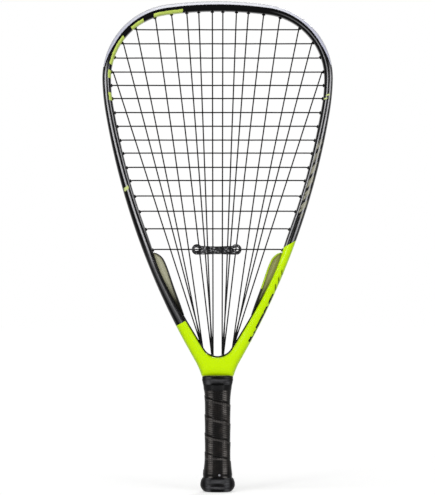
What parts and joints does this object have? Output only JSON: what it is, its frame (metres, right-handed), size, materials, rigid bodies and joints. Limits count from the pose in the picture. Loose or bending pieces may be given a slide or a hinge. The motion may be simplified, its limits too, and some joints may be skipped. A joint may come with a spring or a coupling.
{
  "type": "racquetball racket",
  "caption": "Racquetball racket with a teardrop head, woven fan of strings that closes in the throat, bumper guard, string dampener and wrapped eight-sided grip.",
  "frame": {"origin": "centre of the flat butt end of the handle, the lowest point of the racket stood on its butt", "axes": "+Z from the butt end to the top of the head, +X to the right across the head, front face of the strings towards -Y"},
  "size_m": [0.2626, 0.036, 0.5585],
  "materials": {
    "carbon_paint": "gloss black and lime paint over a moulded composite tube",
    "guard_plastic": "translucent grey-lilac",
    "black_plastic": "satin moulded",
    "fin_plastic": "satin, olive grey",
    "string": "smooth nylon string",
    "rubber": "matt",
    "pallet_foam": "hard foam",
    "wrap": "perforated synthetic leather",
    "tack_steel": "bright"
  },
  "bodies": {
    "root": {"frame": "carbon_paint", "throat_liner": "black_plastic", "stabiliser_fin_left": "fin_plastic", "stabiliser_fin_right": "fin_plastic", "bumper_guard": "guard_plastic", "grommet_strip_left": "black_plastic", "grommet_strip_right": "black_plastic", "throat_port_outer_left": "black_plastic", "throat_port_inner_left": "black_plastic", "throat_port_inner_right": "black_plastic", "throat_port_outer_right": "black_plastic", "main_string": "string", "cross_string": "string", "vibration_dampener": "rubber", "handle_pallet_front": "pallet_foam", "handle_pallet_rear": "pallet_foam", "butt_cap": "black_plastic", "grip_wrap": "wrap", "finishing_tape": "rubber", "grip_collar": "rubber", "grip_tack": "tack_steel"}
  },
  "joints": []
}
